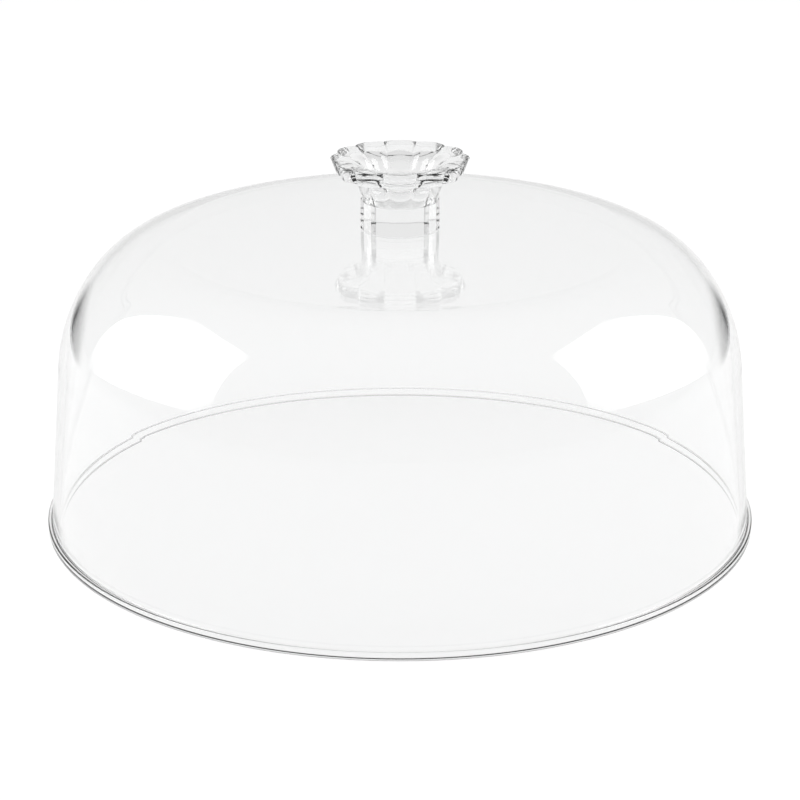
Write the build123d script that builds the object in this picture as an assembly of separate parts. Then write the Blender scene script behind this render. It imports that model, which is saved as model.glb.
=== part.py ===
from build123d import *
import math
import os

# A clear moulded cake dome: a tall round cover with a bead round its rim, a rounded shoulder and an almost
# flat crown, with a solid-footed, petal-edged knob bonded to the middle of the crown. Sizes are millimetres,
# +Z is up, and the origin is the centre of the rim's underside.

# Dome shell
rim_radius = 150.0
wall_height = 70.9
wall_thickness = 3.4
wall_draft = 4.5
lower_shoulder_radius = 64.4
upper_shoulder_radius = 45.3
shoulder_change_angle = 40.0
crown_slope = 2.3

# Bead round the rim
bead_height = 3.6
bead_step = 1.5
bead_chamfer = 0.5
bead_root_chamfer = 0.9
foot_chamfer = 0.5

# Flat seat in the middle of the crown, and the layer of clear adhesive on it
seat_margin = 1.0
bond_thickness = 0.15
bond_setback = 0.6

# Knob: a twelve-sided foot that flares into a thick lip of petals
petal_count = 12
foot_apothem = 16.2
foot_height = 12.8
flare_round = 9.8
flare_angle = 75.0
flare_height = 10.2
lip_height = 6.6
lip_reach = 2.5
lip_land = 4.6
notch_under_lip = 1.9
notch_on_top = 2.1

# Fluted bowl in the top of the knob: a straight throat that rolls out to the lip
bowl_depth = 18.6
throat_radius = 12.0
throat_flute = 0.4
mouth_flute = 0.8

half_petal = 180.0 / petal_count
side_share = math.cos(math.radians(half_petal))
lip_base = foot_height + flare_height
knob_height = lip_base + lip_height
seat_radius = foot_apothem / side_share + seat_margin


def shell_side(inset):
    # The wall's foot and the two arcs of the shoulder, moved inwards by inset along the wall's normal.
    draft = math.radians(wall_draft)
    change = math.radians(shoulder_change_angle)
    wall_foot = rim_radius - bead_step
    wall_top = wall_foot - wall_height * math.tan(draft)
    lower_centre = (
        wall_top - lower_shoulder_radius * math.cos(draft),
        wall_height - lower_shoulder_radius * math.sin(draft),
    )
    step = lower_shoulder_radius - upper_shoulder_radius
    upper_centre = (lower_centre[0] + step * math.cos(change), lower_centre[1] + step * math.sin(change))
    lower_sweep = shoulder_change_angle - wall_draft
    upper_sweep = 90 - crown_slope - shoulder_change_angle
    lower_arc = CenterArc(lower_centre, lower_shoulder_radius - inset, wall_draft, lower_sweep)
    upper_arc = CenterArc(upper_centre, upper_shoulder_radius - inset, shoulder_change_angle, upper_sweep)
    foot_radius = wall_foot - inset / math.cos(draft)
    return foot_radius, lower_arc, upper_arc


def crown_line(upper_arc, end_radius):
    # The crown rises at an even, shallow slope from the shoulder to the given radius.
    start = upper_arc @ 1
    rise = (start.X - end_radius) * math.tan(math.radians(crown_slope))
    return Line(start, (end_radius, start.Y + rise))


foot_radius, lower_arc, upper_arc = shell_side(0)
outer_crown = crown_line(upper_arc, seat_radius)
seat_height = (outer_crown @ 1).Y


def bead_outline(inner_foot):
    # From the inside edge of the foot, round the bead to the root of the wall above it.
    wall_at_bead = foot_radius - bead_height * math.tan(math.radians(wall_draft))
    return Polyline(
        (inner_foot, foot_chamfer),
        (inner_foot + foot_chamfer, 0),
        (rim_radius - foot_chamfer, 0),
        (rim_radius, foot_chamfer),
        (rim_radius, bead_height),
        (wall_at_bead, bead_height),
    )


def make_dome_shell():
    # The outside and the inside share their centres, so the wall keeps its thickness round the shoulder.
    inner_foot, inner_lower, inner_upper = shell_side(wall_thickness)
    inner_foot -= foot_chamfer * math.tan(math.radians(wall_draft))
    inner_crown = crown_line(inner_upper, 0)
    bead = bead_outline(inner_foot)
    section = make_face([
        bead,
        Line(bead @ 1, lower_arc @ 0),
        lower_arc,
        upper_arc,
        outer_crown,
        Line(outer_crown @ 1, (0, seat_height)),
        Line((0, seat_height), inner_crown @ 1),
        inner_crown,
        inner_upper,
        inner_lower,
        Line(inner_lower @ 0, bead @ 0),
    ])
    bead_top = section.vertices().sort_by_distance((rim_radius, bead_height))[0]
    section = chamfer(bead_top, bead_chamfer)
    bead_root = section.vertices().sort_by_distance(bead @ 1)[0]
    section = chamfer(bead_root, bead_root_chamfer)
    return revolve(Plane.XZ * section, Axis.Z)


def polar(radius, angle):
    return radius * math.cos(math.radians(angle)), radius * math.sin(math.radians(angle))


def corner_radius(apothem):
    return apothem / side_share


def petal_ring(peak_radius, notch_radius, height, turn=0.0):
    # A closed ring of petals. Each is an arc between two notches over its peak, or a straight side.
    straight = abs(notch_radius * side_share - peak_radius) < 0.001
    sides = []
    for petal in range(petal_count):
        angle = turn + petal * 2 * half_petal
        start = polar(notch_radius, angle - half_petal)
        end = polar(notch_radius, angle + half_petal)
        if straight:
            sides.append(Line(start, end))
        else:
            sides.append(ThreePointArc(start, polar(peak_radius, angle), end))
    return Pos(0, 0, height) * make_face(sides)


def flare_radius(rise):
    # The flare leaves the foot on a round and then runs straight out to the lip.
    angle = math.radians(flare_angle)
    round_rise = flare_round * math.sin(angle)
    if rise <= round_rise:
        return foot_apothem + flare_round - math.sqrt(flare_round ** 2 - rise ** 2)
    round_reach = flare_round * (1 - math.cos(angle))
    return foot_apothem + round_reach + (rise - round_rise) * math.tan(angle)


lip_under_radius = flare_radius(flare_height)
lip_top_radius = lip_under_radius + lip_reach


def make_knob_outside():
    corner = corner_radius(foot_apothem)
    foot = extrude(petal_ring(foot_apothem, corner, 0), foot_height)
    rings = []
    for share in (0, 0.25, 0.5, 0.72, 0.88, 1):
        rise = flare_height * share
        peak = flare_radius(rise)
        notch = peak + (corner - foot_apothem) * (1 - share) - notch_under_lip * share
        rings.append(petal_ring(peak, notch, foot_height + rise))
    under = petal_ring(lip_under_radius, lip_under_radius - notch_under_lip, lip_base)
    top = petal_ring(lip_top_radius, lip_top_radius - notch_on_top, knob_height)
    return foot + loft(rings) + loft([under, top], ruled=True)


def make_bowl():
    # The ridges between the flutes follow the middles of the petals: straight up the throat, then over a
    # quarter round to the inner edge of the lip.
    mouth_radius = lip_top_radius - lip_land
    roll = mouth_radius - throat_radius
    roll_base = knob_height - roll
    floor = knob_height - bowl_depth
    throat = extrude(
        petal_ring(throat_radius + throat_flute, throat_radius, floor, half_petal), roll_base - floor
    )
    rings = []
    for angle in (0, 18, 36, 54, 70, 82, 90):
        ridge = mouth_radius - roll * math.cos(math.radians(angle))
        flute = throat_flute + (mouth_flute - throat_flute) * angle / 90
        height = roll_base + roll * math.sin(math.radians(angle))
        rings.append(petal_ring(ridge + flute, ridge, height, half_petal))
    return throat + loft(rings)


def make_knob():
    knob = make_knob_outside() - make_bowl()
    return Pos(0, 0, seat_height + bond_thickness) * knob


def make_knob_bond():
    # The adhesive covers the seat under the foot, set back a little from the foot's edge.
    apothem = foot_apothem - bond_setback
    return extrude(petal_ring(apothem, corner_radius(apothem), seat_height), bond_thickness)


nodes = {
    "dome_shell": make_dome_shell,
    "knob_bond": make_knob_bond,
    "knob": make_knob,
}

os.makedirs("parts", exist_ok=True)
for name, make in nodes.items():
    export_step(make(), f"parts/{name}.step")
print("seat height", round(seat_height, 2))
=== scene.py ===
import math

import bmesh
import bpy
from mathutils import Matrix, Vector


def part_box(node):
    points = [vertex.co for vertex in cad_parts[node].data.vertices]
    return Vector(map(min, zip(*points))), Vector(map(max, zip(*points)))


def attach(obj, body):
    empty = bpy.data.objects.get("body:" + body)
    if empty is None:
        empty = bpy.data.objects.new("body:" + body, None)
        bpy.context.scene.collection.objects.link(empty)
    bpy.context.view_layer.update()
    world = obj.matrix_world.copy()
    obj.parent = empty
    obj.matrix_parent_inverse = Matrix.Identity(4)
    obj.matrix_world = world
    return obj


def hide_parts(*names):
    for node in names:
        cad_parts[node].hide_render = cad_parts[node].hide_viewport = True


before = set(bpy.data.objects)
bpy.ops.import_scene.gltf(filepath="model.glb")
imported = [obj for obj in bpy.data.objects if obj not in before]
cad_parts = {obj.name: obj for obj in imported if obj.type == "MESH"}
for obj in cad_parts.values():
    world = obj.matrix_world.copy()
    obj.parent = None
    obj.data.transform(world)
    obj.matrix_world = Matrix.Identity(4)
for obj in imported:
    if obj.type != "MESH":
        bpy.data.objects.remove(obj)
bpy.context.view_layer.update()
print("frame loaded")

_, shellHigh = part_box("dome_shell")
knobLow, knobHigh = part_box("knob")

hairGap = 0.00002  # keeps the faces of the adhesive and of what it holds from lying in one plane
sameSpot = 1e-6  # points nearer to each other than this become one
onAxis = 1e-7  # a ring of points narrower than this becomes one point on the axis


# Small helpers

def linkMesh(name, vertices, faces):
    mesh = bpy.data.meshes.new(name)
    mesh.from_pydata(vertices, [], faces)
    mesh.update()
    piece = bpy.data.objects.new(name, mesh)
    bpy.context.scene.collection.objects.link(piece)
    return piece


def smoothByAngle(piece, degrees):
    for face in piece.data.polygons:
        face.use_smooth = True
    piece.data.set_sharp_from_angle(angle=math.radians(degrees))


def cleanMesh(piece):
    # Merges doubles and turns every face outwards.
    work = bmesh.new()
    work.from_mesh(piece.data)
    bmesh.ops.remove_doubles(work, verts=work.verts, dist=sameSpot)
    bmesh.ops.recalc_face_normals(work, faces=work.faces)
    work.to_mesh(piece.data)
    work.free()


def arcPoints(centre, radius, startAngle, endAngle, steps):
    points = []
    for step in range(steps + 1):
        angle = math.radians(startAngle + (endAngle - startAngle) * step / steps)
        points.append((centre[0] + radius * math.cos(angle), centre[1] + radius * math.sin(angle)))
    return points


def linePoints(start, end, steps):
    return [(start[0] + (end[0] - start[0]) * step / steps,
             start[1] + (end[1] - start[1]) * step / steps) for step in range(steps + 1)]


def lathe(name, profile, turns):
    # Turns a profile of (radius, height) round the axis. Its points on the axis become poles.
    vertices, rings = [], []
    for radius, height in profile:
        if radius < onAxis:
            rings.append([len(vertices)] * turns)
            vertices.append((0, 0, height))
            continue
        rings.append(list(range(len(vertices), len(vertices) + turns)))
        for turn in range(turns):
            angle = 2 * math.pi * turn / turns
            vertices.append((radius * math.cos(angle), radius * math.sin(angle), height))
    faces = []
    for low, high in zip(rings, rings[1:]):
        for turn in range(turns):
            following = (turn + 1) % turns
            around = [low[turn], low[following], high[following], high[turn]]
            corners = [corner for place, corner in enumerate(around) if corner not in around[:place]]
            if len(corners) > 2:
                faces.append(corners)
    return linkMesh(name, vertices, faces)


# Materials

def newMaterial(name):
    material = bpy.data.materials.new(name)
    material.use_nodes = True
    material.node_tree.nodes.clear()
    return material, material.node_tree


def noisePattern(tree, place, scale, detail):
    pattern = tree.nodes.new("ShaderNodeTexNoise")
    pattern.inputs["Scale"].default_value = scale
    pattern.inputs["Detail"].default_value = detail
    tree.links.new(place, pattern.inputs["Vector"])
    return pattern.outputs["Fac"]


def mapRange(tree, value, fromRange, toRange, interpolation="LINEAR"):
    remap = tree.nodes.new("ShaderNodeMapRange")
    remap.interpolation_type = interpolation
    sockets = ("From Min", "From Max", "To Min", "To Max")
    for socket, limit in zip(sockets, (*fromRange, *toRange)):
        remap.inputs[socket].default_value = limit
    tree.links.new(value, remap.inputs["Value"])
    return remap.outputs["Result"]


def larger(tree, first, second):
    pick = tree.nodes.new("ShaderNodeMath")
    pick.operation = "MAXIMUM"
    tree.links.new(first, pick.inputs[0])
    tree.links.new(second, pick.inputs[1])
    return pick.outputs["Value"]


def mixShaders(tree, share, under, over):
    mix = tree.nodes.new("ShaderNodeMixShader")
    tree.links.new(share, mix.inputs["Fac"])
    tree.links.new(under, mix.inputs[1])
    tree.links.new(over, mix.inputs[2])
    return mix.outputs["Shader"]


def endMaterial(tree, shader):
    output = tree.nodes.new("ShaderNodeOutputMaterial")
    tree.links.new(shader, output.inputs["Surface"])


def clearAcrylic(name, look):
    # A clear moulding: fine flow ripples in the surface and hair scuffs in the gloss. Shadow rays
    # go straight through it, so its shadow is faint.
    material, tree = newMaterial(name)
    place = tree.nodes.new("ShaderNodeTexCoord").outputs["Object"]
    bump = tree.nodes.new("ShaderNodeBump")
    bump.inputs["Strength"].default_value = look["rippleStrength"]
    bump.inputs["Distance"].default_value = look["rippleDepth"]
    ripples = noisePattern(tree, place, look["rippleScale"], look["rippleDetail"])
    tree.links.new(ripples, bump.inputs["Height"])
    scuffs = noisePattern(tree, place, look["scuffScale"], look["scuffDetail"])
    rough = mapRange(tree, scuffs, look["scuffSpread"], (look["roughness"], look["scuffRoughness"]))
    body = tree.nodes.new("ShaderNodeBsdfPrincipled")
    body.inputs["Base Color"].default_value = (*look["colour"], 1)
    body.inputs["IOR"].default_value = look["refraction"]
    body.inputs["Transmission Weight"].default_value = 1.0
    tree.links.new(rough, body.inputs["Roughness"])
    tree.links.new(bump.outputs["Normal"], body.inputs["Normal"])
    shadowRay = tree.nodes.new("ShaderNodeLightPath").outputs["Is Shadow Ray"]
    through = tree.nodes.new("ShaderNodeBsdfTransparent")
    through.inputs["Color"].default_value = (*look["shadowTint"], 1)
    endMaterial(tree, mixShaders(tree, shadowRay, body.outputs["BSDF"], through.outputs["BSDF"]))
    return material


acrylic = {
    "colour": (0.985, 0.987, 0.987), "refraction": 1.49, "rippleDetail": 1.0,
    "roughness": 0.0, "scuffDetail": 6.0, "scuffSpread": (0.55, 0.85),
}
shellAcrylic = clearAcrylic("shell acrylic", acrylic | {
    "rippleScale": 9.0, "rippleStrength": 0.008, "rippleDepth": 0.001,
    "scuffScale": 40.0, "scuffRoughness": 0.02, "shadowTint": (0.93, 0.93, 0.93),
})
knobAcrylic = clearAcrylic("knob acrylic", acrylic | {
    "rippleScale": 50.0, "rippleStrength": 0.02, "rippleDepth": 0.0005,
    "scuffScale": 120.0, "scuffRoughness": 0.03, "shadowTint": (0.9, 0.9, 0.9),
})


def bondedFace(name, look):
    # Clear adhesive can't be seen between clear pieces; fine bubbles only cloud it a little.
    material, tree = newMaterial(name)
    place = tree.nodes.new("ShaderNodeTexCoord").outputs["Object"]
    bubbles = noisePattern(tree, place, look["bubbleScale"], look["bubbleDetail"])
    cloud = mapRange(tree, bubbles, (0.0, 1.0), (look["clearest"], look["cloudiest"]))
    through = tree.nodes.new("ShaderNodeBsdfTransparent")
    tree.links.new(cloud, through.inputs["Color"])
    endMaterial(tree, through.outputs["BSDF"])
    return material


clearBond = bondedFace("clear bond", {
    "bubbleScale": 900.0, "bubbleDetail": 3.0, "clearest": 0.995, "cloudiest": 0.96,
})
print("materials made")


# Dome shell: bead, drafted wall, two-radius shoulder, slightly domed crown and flat seat

shell = {
    "rimRadius": shellHigh[0], "seatHeight": shellHigh[2] - hairGap, "thickness": 0.0034,
    "beadStep": 0.0015, "beadHeight": 0.0036,
    "beadRound": 0.0007, "beadFillet": 0.0009, "footRound": 0.0007,
    "wallHeight": 0.0709, "draft": 4.5, "changeAngle": 40.0, "crownSlope": 3.91,
    "lowerRadius": 0.0644, "upperRadius": 0.0453, "seatRadius": 0.01777,
    "turns": 360, "roundSteps": 6, "wallSteps": 8, "lowerSteps": 24, "upperSteps": 28,
    "crownSteps": 14, "seatSteps": 4, "innerCrownSteps": 18, "creaseAngle": 25,
}


def shellSide(settings, inset):
    # From the foot of the wall to the edge of the crown, moved inwards along its normal.
    draft = math.radians(settings["draft"])
    change = math.radians(settings["changeAngle"])
    crownAngle = 90 - settings["crownSlope"]
    crown = math.radians(crownAngle)
    wallFoot = settings["rimRadius"] - settings["beadStep"]
    wallTop = wallFoot - settings["wallHeight"] * math.tan(draft)
    lower = (wallTop - settings["lowerRadius"] * math.cos(draft),
             settings["wallHeight"] - settings["lowerRadius"] * math.sin(draft))
    step = settings["lowerRadius"] - settings["upperRadius"]
    upper = (lower[0] + step * math.cos(change), lower[1] + step * math.sin(change))
    lowerArc = arcPoints(lower, settings["lowerRadius"] - inset,
                         settings["draft"], settings["changeAngle"], settings["lowerSteps"])
    upperArc = arcPoints(upper, settings["upperRadius"] - inset,
                         settings["changeAngle"], crownAngle, settings["upperSteps"])
    edgeRadius = upper[0] + settings["upperRadius"] * math.cos(crown)
    edgeHeight = upper[1] + settings["upperRadius"] * math.sin(crown)
    crownRadius = edgeRadius / math.cos(crown)
    crownCentre = edgeHeight - crownRadius * math.sin(crown)
    footRadius = wallFoot - inset / math.cos(draft)
    return footRadius, lowerArc, upperArc, crownRadius - inset, crownCentre


def crownPoints(start, end, radius, centre, steps):
    return [(r, centre + math.sqrt(radius ** 2 - r ** 2))
            for r, _ in linePoints((start, 0), (end, 0), steps)]


def beadPoints(settings, footRadius, innerFootRadius):
    # From the inside of the foot, under it and round the bead, to the root of the wall.
    rim, height, rounding = settings["rimRadius"], settings["beadHeight"], settings["beadRound"]
    fillet, footRound, steps = settings["beadFillet"], settings["footRound"], settings["roundSteps"]
    wallAtBead = footRadius - (height + fillet) * math.tan(math.radians(settings["draft"]))
    points = arcPoints((innerFootRadius + footRound, footRound), footRound, 180, 270, steps)
    points += arcPoints((rim - rounding, rounding), rounding, 270, 360, steps)
    points += arcPoints((rim - rounding, height - rounding), rounding, 0, 90, steps)
    points += arcPoints((wallAtBead + fillet, height + fillet), fillet, 270, 180, steps)
    return points


def shellProfile(settings):
    foot, lowerArc, upperArc, crownRadius, crownCentre = shellSide(settings, 0)
    inner = shellSide(settings, settings["thickness"])
    innerFoot, innerLower, innerUpper, innerRadius, innerCentre = inner
    seatEdge = (settings["seatRadius"], settings["seatHeight"])
    seatMiddle = (0, settings["seatHeight"])
    profile = beadPoints(settings, foot, innerFoot)
    profile += linePoints(profile[-1], lowerArc[0], settings["wallSteps"])[1:]
    profile += lowerArc[1:] + upperArc[1:]
    profile += crownPoints(upperArc[-1][0], settings["seatRadius"], crownRadius, crownCentre,
                           settings["crownSteps"])[1:]
    profile += linePoints(seatEdge, seatMiddle, settings["seatSteps"])[1:]
    profile += crownPoints(0, innerUpper[-1][0], innerRadius, innerCentre,
                           settings["innerCrownSteps"])
    profile += innerUpper[::-1][1:] + innerLower[::-1][1:]
    profile += linePoints(innerLower[0], profile[0], settings["wallSteps"])[1:]
    return profile


domeShell = lathe("domeShell", shellProfile(shell), shell["turns"])
cleanMesh(domeShell)
smoothByAngle(domeShell, shell["creaseAngle"])
domeShell.data.materials.append(shellAcrylic)
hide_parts("dome_shell")
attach(domeShell, "root")
print("dome shell turned")


# Knob: one petal is modelled, and Geometry Nodes repeat it round the axis. A tuple of rows says
# how far along its stretch each row of points lies.

knob = {
    "petals": 12, "foot": knobLow[2] + hairGap, "top": knobHigh[2],
    "footApothem": 0.0162, "footHeight": 0.0128, "footRound": 0.0003,
    "flareRound": 0.0098, "flareAngle": 75.0, "flareHeight": 0.0102, "notchUnder": 0.0019,
    "lipReach": 0.0025, "lipLand": 0.0046, "notchTop": 0.0021, "lipRound": 0.0005,
    "bowlDepth": 0.0186, "throatRadius": 0.012, "floorRound": 0.0007,
    "throatFlute": 0.0004, "mouthFlute": 0.0012,
    "across": 18, "undersideRows": (0, 0.4, 0.8, 0.96), "sideRows": (0.04, 0.3, 0.6, 0.9, 1),
    "lipRows": (0.15, 0.35, 0.6, 0.85), "landRows": (0.25, 0.5, 0.75),
    "throatRows": (0.3, 0.6, 0.9), "floorRows": (0.1, 0.4, 0.7, 1),
    "flareSteps": 23, "rollSteps": 20, "footSteps": 3, "lipSteps": 4, "floorSteps": 5,
    "mergeDistance": 2e-6, "creaseAngle": 24,
}
halfPetal = math.pi / knob["petals"]
notchShare = math.cos(halfPetal)
leastBulge = 0.00002  # a side that bulges less than this is straight


def petalRadius(angle, peak, notch):
    # Distance from the axis to the arc that joins two notches over the petal's peak.
    edge = peak - notch
    bulge = peak - edge * notchShare
    if bulge < leastBulge:
        return peak / math.cos(angle)
    centre = (peak ** 2 - edge ** 2) / (2 * bulge)
    radius = peak - centre
    return centre * math.cos(angle) + math.sqrt(radius ** 2 - (centre * math.sin(angle)) ** 2)


def outsideRadius(angle, ring):
    # Outside rings peak in the middle of the petal, with a notch at either side of it.
    return petalRadius(angle, ring[0], ring[1])


def bowlRadius(angle, ring):
    # In the bowl the flutes lie between the petals, and a ridge runs down the middle of each.
    return petalRadius(halfPetal - abs(angle), ring[0] + ring[1], ring[1])


def softCorner(before, corner, after, steps):
    # Rings on a small round from the first ring to the last, pulled towards the middle one.
    rings = []
    for step in range(steps + 1):
        share = step / steps
        rings.append(tuple(
            (1 - share) ** 2 * first + 2 * share * (1 - share) * middle + share ** 2 * last
            for first, middle, last in zip(before, corner, after)))
    return rings


def between(start, end, shares):
    return [tuple(low + (high - low) * share for low, high in zip(start, end)) for share in shares]


def flareReach(settings, rise):
    # How far the flare stands out from the foot: a round, then a straight run out to the lip.
    angle = math.radians(settings["flareAngle"])
    roundRise = settings["flareRound"] * math.sin(angle)
    if rise <= roundRise:
        return settings["flareRound"] - math.sqrt(settings["flareRound"] ** 2 - rise ** 2)
    return settings["flareRound"] * (1 - math.cos(angle)) + (rise - roundRise) * math.tan(angle)


def outsideRings(settings):
    # Each ring is its peak radius, the depth of its notches and its height above the underside.
    apothem, height = settings["footApothem"], settings["top"] - settings["foot"]
    footHeight, flareHeight = settings["footHeight"], settings["flareHeight"]
    flat = apothem - apothem / notchShare
    edge, lipEdge = settings["footRound"], settings["lipRound"]
    underside, corner, side = (apothem - edge, flat, 0), (apothem, flat, 0), (apothem, flat, edge)
    rings = between((0, 0, 0), underside, settings["undersideRows"])
    rings += softCorner(underside, corner, side, settings["footSteps"])
    rings += between(side, (apothem, flat, footHeight), settings["sideRows"])
    for step in range(1, settings["flareSteps"]):
        share = math.sin(math.pi / 2 * step / settings["flareSteps"])
        rings.append((apothem + flareReach(settings, flareHeight * share),
                      flat * (1 - share) + settings["notchUnder"] * share,
                      footHeight + flareHeight * share))
    lipBase = footHeight + flareHeight
    under = (apothem + flareReach(settings, flareHeight), settings["notchUnder"], lipBase)
    over = (under[0] + settings["lipReach"], settings["notchTop"], height)
    lipShare = lipEdge / (height - lipBase)
    lipStart, lipEnd = between(under, over, (lipShare, 1 - lipShare))
    rings += softCorner(rings[-1], under, lipStart, settings["lipSteps"])[1:]
    rings += between(under, over, settings["lipRows"])
    rings += softCorner(lipEnd, over, (over[0] - lipEdge, over[1], over[2]), settings["lipSteps"])
    return rings


def bowlRings(settings):
    # Each ring is its ridge radius, the depth of its flutes and its height, from the lip down.
    height = settings["top"] - settings["foot"]
    mouth = (settings["footApothem"] + flareReach(settings, settings["flareHeight"])
             + settings["lipReach"] - settings["lipLand"])
    throat, flute = settings["throatRadius"], settings["throatFlute"]
    floor, rounding = height - settings["bowlDepth"], settings["floorRound"]
    roll, steps = mouth - throat, settings["rollSteps"]
    rings = []
    for step in range(steps + 1):
        angle = math.pi / 2 * (1 - step / steps)
        rings.append((mouth - roll * math.cos(angle),
                      flute + (settings["mouthFlute"] - flute) * (1 - step / steps),
                      height - roll + roll * math.sin(angle)))
    low, corner = (throat, flute, floor + rounding), (throat, flute, floor)
    edge = (throat - rounding, flute, floor)
    rings += between(rings[-1], low, settings["throatRows"])
    rings += softCorner(low, corner, edge, settings["floorSteps"])
    rings += between(edge, (0, 0, floor), settings["floorRows"])
    return rings


def petalMesh(settings):
    across = settings["across"]
    angles = [halfPetal * (2 * column / across - 1) for column in range(across + 1)]
    outside, bowl = outsideRings(settings), bowlRings(settings)
    rows = [([outsideRadius(angle, ring) for angle in angles], ring[2]) for ring in outside]
    lipEdge, mouth = rows[-1][0], [bowlRadius(angle, bowl[0]) for angle in angles]
    for share in settings["landRows"]:
        land = [outer + (inner - outer) * share for outer, inner in zip(lipEdge, mouth)]
        rows.append((land, rows[-1][1]))
    rows += [([bowlRadius(angle, ring) for angle in angles], ring[2]) for ring in bowl]
    vertices, faces = [], []
    for radii, height in rows:
        level = settings["foot"] + height
        for angle, radius in zip(angles, radii):
            vertices.append((radius * math.cos(angle), radius * math.sin(angle), level))
    for row in range(len(rows) - 1):
        for column in range(across):
            first = row * (across + 1) + column
            faces.append((first, first + 1, first + across + 2, first + across + 1))
    return linkMesh("petal", vertices, faces)


def petalTree(material):
    tree = bpy.data.node_groups.new("Petals round the axis", "GeometryNodeTree")
    tree.interface.new_socket("Geometry", in_out="INPUT", socket_type="NodeSocketGeometry")
    tree.interface.new_socket("Petals", in_out="INPUT", socket_type="NodeSocketInt")
    tree.interface.new_socket("Merge distance", in_out="INPUT", socket_type="NodeSocketFloat")
    tree.interface.new_socket("Geometry", in_out="OUTPUT", socket_type="NodeSocketGeometry")
    nodes, links = tree.nodes, tree.links
    groupIn = nodes.new("NodeGroupInput")
    groupOut = nodes.new("NodeGroupOutput")
    points = nodes.new("GeometryNodePoints")
    links.new(groupIn.outputs["Petals"], points.inputs["Count"])
    index = nodes.new("GeometryNodeInputIndex")
    turn = nodes.new("ShaderNodeMath")
    turn.operation = "DIVIDE"
    turn.inputs[0].default_value = math.tau
    links.new(groupIn.outputs["Petals"], turn.inputs[1])
    spin = nodes.new("ShaderNodeMath")
    spin.operation = "MULTIPLY"
    links.new(index.outputs["Index"], spin.inputs[0])
    links.new(turn.outputs["Value"], spin.inputs[1])
    rotation = nodes.new("ShaderNodeCombineXYZ")
    links.new(spin.outputs["Value"], rotation.inputs["Z"])
    instance = nodes.new("GeometryNodeInstanceOnPoints")
    links.new(points.outputs["Points"], instance.inputs["Points"])
    links.new(groupIn.outputs["Geometry"], instance.inputs["Instance"])
    links.new(rotation.outputs["Vector"], instance.inputs["Rotation"])
    realize = nodes.new("GeometryNodeRealizeInstances")
    merge = nodes.new("GeometryNodeMergeByDistance")
    links.new(groupIn.outputs["Merge distance"], merge.inputs["Distance"])
    finish = nodes.new("GeometryNodeSetMaterial")
    finish.inputs["Material"].default_value = material
    links.new(instance.outputs["Instances"], realize.inputs["Geometry"])
    links.new(realize.outputs["Geometry"], merge.inputs["Geometry"])
    links.new(merge.outputs["Geometry"], finish.inputs["Geometry"])
    links.new(finish.outputs["Geometry"], groupOut.inputs["Geometry"])
    return tree


def growFromNodes(name, seedPiece, tree, values):
    # Runs a Geometry Nodes tree on the seed and keeps the result as a plain mesh.
    modifier = seedPiece.modifiers.new(tree.name, "NODES")
    modifier.node_group = tree
    for item in tree.interface.items_tree:
        if item.in_out == "INPUT" and item.name in values:
            modifier[item.identifier] = values[item.name]
    graph = bpy.context.evaluated_depsgraph_get()
    mesh = bpy.data.meshes.new_from_object(seedPiece.evaluated_get(graph), depsgraph=graph)
    bpy.data.objects.remove(seedPiece)
    mesh.name = name
    piece = bpy.data.objects.new(name, mesh)
    bpy.context.scene.collection.objects.link(piece)
    return piece


petal = petalMesh(knob)
petal.data.materials.append(knobAcrylic)
petalKnob = growFromNodes("petalKnob", petal, petalTree(knobAcrylic), {
    "Petals": knob["petals"], "Merge distance": knob["mergeDistance"],
})
cleanMesh(petalKnob)
smoothByAngle(petalKnob, knob["creaseAngle"])
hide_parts("knob")
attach(petalKnob, "root")
print("knob grown from", knob["petals"], "petals")


# Adhesive under the knob

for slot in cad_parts["knob_bond"].material_slots:
    slot.material = clearBond
print("adhesive finished")


# Studio: a pale floor in a white room, two soft boxes that draw the window shapes on the dome,
# and two dark cards that draw the strokes in its shoulder

studio = {
    "floorRadius": 6.0, "floorDrop": 0.0002, "floorTurns": 96, "floorColour": (0.93, 0.93, 0.93),
    # The floor's glow seen through clear pieces is lowered: painted shadow of the dome on the floor
    # under it
    "floorGlow": 0.8, "shadowedGlowThroughClear": 0.89,
    "ambient": 0.8, "ceiling": 0.78, "ring": 0.84, "ringTop": 38.0,
    "boxStrength": 3.6, "boxAway": 1.04, "boxFade": (0.0, 0.35),
    "boxCorners": ((-0.58, 0.32), (0.58, 0.03), (0.66, 1.4), (-0.36, 1.45)),
    "cardNear": (0.3, 0.53), "cardFar": (0.66, 0.38), "cardLow": -0.12, "cardHigh": 0.14,
    "cardGlow": 0.08, "cardFade": (0.3, 0.75), "patternReach": 0.7,
}


def glowMaterial(name, colour, glow, shadowedThroughClear):
    # Mostly an even white to the camera and in reflections, and otherwise matte. Seen through clear
    # pieces it glows a little less: painted shadow of the clear pieces on the floor under them.
    material, tree = newMaterial(name)
    path = tree.nodes.new("ShaderNodeLightPath")
    transmitted = path.outputs["Is Transmission Ray"]
    either = larger(tree, path.outputs["Is Camera Ray"], path.outputs["Is Glossy Ray"])
    share = tree.nodes.new("ShaderNodeMath")
    share.operation = "MULTIPLY"
    share.inputs[1].default_value = glow
    tree.links.new(larger(tree, either, transmitted), share.inputs[0])
    matte = tree.nodes.new("ShaderNodeBsdfDiffuse")
    matte.inputs["Color"].default_value = (*colour, 1)
    light = tree.nodes.new("ShaderNodeEmission")
    # Painted shadow: seen through clear pieces the floor glows less, for the shade under them
    strength = mapRange(tree, transmitted, (0.0, 1.0), (1.0, shadowedThroughClear))
    tree.links.new(strength, light.inputs["Strength"])
    endMaterial(tree, mixShaders(tree, share.outputs["Value"],
                                 matte.outputs["BSDF"], light.outputs["Emission"]))
    return material


def makeFloor(settings):
    drop = -settings["floorDrop"]
    floor = lathe("floor", [(0, drop), (settings["floorRadius"], drop)], settings["floorTurns"])
    floor.data.materials.append(glowMaterial("pale floor", settings["floorColour"],
                                             settings["floorGlow"], settings["shadowedGlowThroughClear"]))


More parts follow.
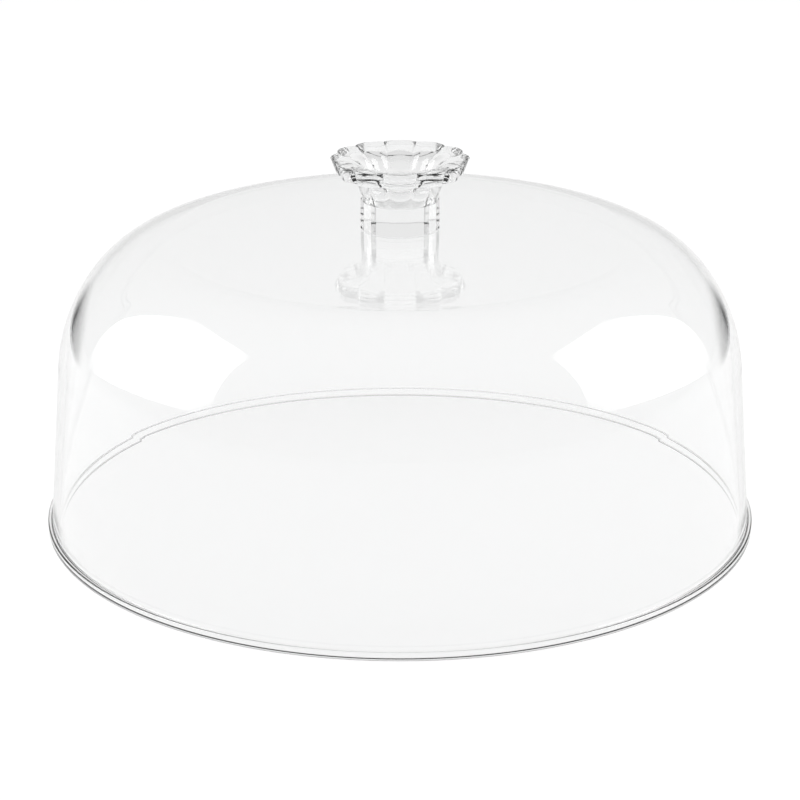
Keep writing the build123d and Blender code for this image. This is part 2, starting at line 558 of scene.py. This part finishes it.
def roundFade(tree, spread, most):
    # Nothing at the edges of a panel, and the most in its middle.
    place = tree.nodes.new("ShaderNodeUVMap")
    place.uv_map = "cloth"
    gradient = tree.nodes.new("ShaderNodeTexGradient")
    gradient.gradient_type = "SPHERICAL"
    tree.links.new(place.outputs["UV"], gradient.inputs["Vector"])
    return mapRange(tree, gradient.outputs["Fac"], spread, (0.0, most), "SMOOTHSTEP")


def softBoxMaterial(settings):
    # Brightest in the middle, and falling off softly towards the edges of its cloth.
    material, tree = newMaterial("soft box cloth")
    light = tree.nodes.new("ShaderNodeEmission")
    fade = roundFade(tree, settings["boxFade"], settings["boxStrength"])
    tree.links.new(fade, light.inputs["Strength"])
    clear = tree.nodes.new("ShaderNodeBsdfTransparent")
    both = tree.nodes.new("ShaderNodeAddShader")
    tree.links.new(light.outputs["Emission"], both.inputs[0])
    tree.links.new(clear.outputs["BSDF"], both.inputs[1])
    endMaterial(tree, both.outputs["Shader"])
    return material


def cardMaterial(settings):
    # Dark in the middle, and gone before its edges, so that the strokes it draws are soft.
    material, tree = newMaterial("dark card")
    clear = tree.nodes.new("ShaderNodeBsdfTransparent")
    dim = tree.nodes.new("ShaderNodeEmission")
    dim.inputs["Strength"].default_value = settings["cardGlow"]
    endMaterial(tree, mixShaders(tree, roundFade(tree, settings["cardFade"], 1.0),
                                 clear.outputs["BSDF"], dim.outputs["Emission"]))
    return material


def makePanel(name, corners, material, reach):
    # A four-cornered panel that the camera doesn't see, with its pattern centred on it.
    panel = linkMesh(name, corners, [(0, 1, 2, 3)])
    cloth = panel.data.uv_layers.new(name="cloth")
    for loop, spot in zip(cloth.data, ((-1, -1), (1, -1), (1, 1), (-1, 1))):
        loop.uv = (spot[0] * reach, spot[1] * reach)
    panel.data.materials.append(material)
    panel.visible_camera = False
    return panel


def makeSoftBox(name, side, settings, material):
    # Upright beside the dome, and seen only in reflections. Each corner is its depth and height.
    away = side * settings["boxAway"]
    corners = [(away, depth, height) for depth, height in settings["boxCorners"]]
    box = makePanel(name, corners, material, settings["patternReach"])
    box.visible_transmission = False


def makeCard(name, side, settings, material):
    # Behind the dome, just outside the camera's view.
    (nearX, nearY), (farX, farY) = settings["cardNear"], settings["cardFar"]
    low, high = settings["cardLow"], settings["cardHigh"]
    corners = [(side * nearX, nearY, low), (side * farX, farY, low),
               (side * farX, farY, high), (side * nearX, nearY, high)]
    card = makePanel(name, corners, material, settings["patternReach"])
    card.visible_diffuse = False
    card.visible_shadow = False


def whiteBackground(tree, strength):
    background = tree.nodes.new("ShaderNodeBackground")
    background.inputs["Color"].default_value = (1, 1, 1, 1)
    background.inputs["Strength"].default_value = strength
    return background


def makeWorld(settings):
    # White to the camera; in reflections and through clear pieces a pale ring of walls under a
    # slightly darker ceiling; and even light on everything else.
    world = bpy.data.worlds.new("studio")
    bpy.context.scene.world = world
    world.use_nodes = True
    tree = world.node_tree
    tree.nodes.clear()
    path = tree.nodes.new("ShaderNodeLightPath")
    direction = tree.nodes.new("ShaderNodeTexCoord")
    parts = tree.nodes.new("ShaderNodeSeparateXYZ")
    tree.links.new(direction.outputs["Generated"], parts.inputs["Vector"])
    ringTop = math.sin(math.radians(settings["ringTop"]))
    rise = mapRange(tree, parts.outputs["Z"], (0.0, ringTop),
                    (settings["ring"], settings["ceiling"]), "SMOOTHSTEP")
    room = whiteBackground(tree, 1.0)
    tree.links.new(rise, room.inputs["Strength"])
    ambient = whiteBackground(tree, settings["ambient"])
    white = whiteBackground(tree, 1.0)
    shine = larger(tree, path.outputs["Is Glossy Ray"], path.outputs["Is Transmission Ray"])
    unseen = mixShaders(tree, shine, ambient.outputs["Background"], room.outputs["Background"])
    seen = mixShaders(tree, path.outputs["Is Camera Ray"], unseen, white.outputs["Background"])
    output = tree.nodes.new("ShaderNodeOutputWorld")
    tree.links.new(seen, output.inputs["Surface"])


makeFloor(studio)
boxCloth = softBoxMaterial(studio)
makeSoftBox("softBoxLeft", -1, studio, boxCloth)
makeSoftBox("softBoxRight", 1, studio, boxCloth)
darkCard = cardMaterial(studio)
makeCard("cardLeft", -1, studio, darkCard)
makeCard("cardRight", 1, studio, darkCard)
makeWorld(studio)
print("studio lit")


# Camera

camera = {
    "focalPixels": 2650.7, "imageWidth": 800, "sensorWidth": 36.0, "nearClip": 0.01,
    "distance": 1.05446, "height": 0.43644, "pitch": 20.1155,
}


def makeCamera(settings):
    lens = bpy.data.cameras.new("camera")
    lens.sensor_width = settings["sensorWidth"]
    lens.lens = settings["sensorWidth"] * settings["focalPixels"] / settings["imageWidth"]
    lens.clip_start = settings["nearClip"]
    eye = bpy.data.objects.new("camera", lens)
    eye.location = (0, -settings["distance"], settings["height"])
    eye.rotation_euler = (math.radians(90 - settings["pitch"]), 0, 0)
    bpy.context.scene.collection.objects.link(eye)
    bpy.context.scene.camera = eye


makeCamera(camera)
bpy.context.scene.view_settings.view_transform = "Standard"
print("camera set")
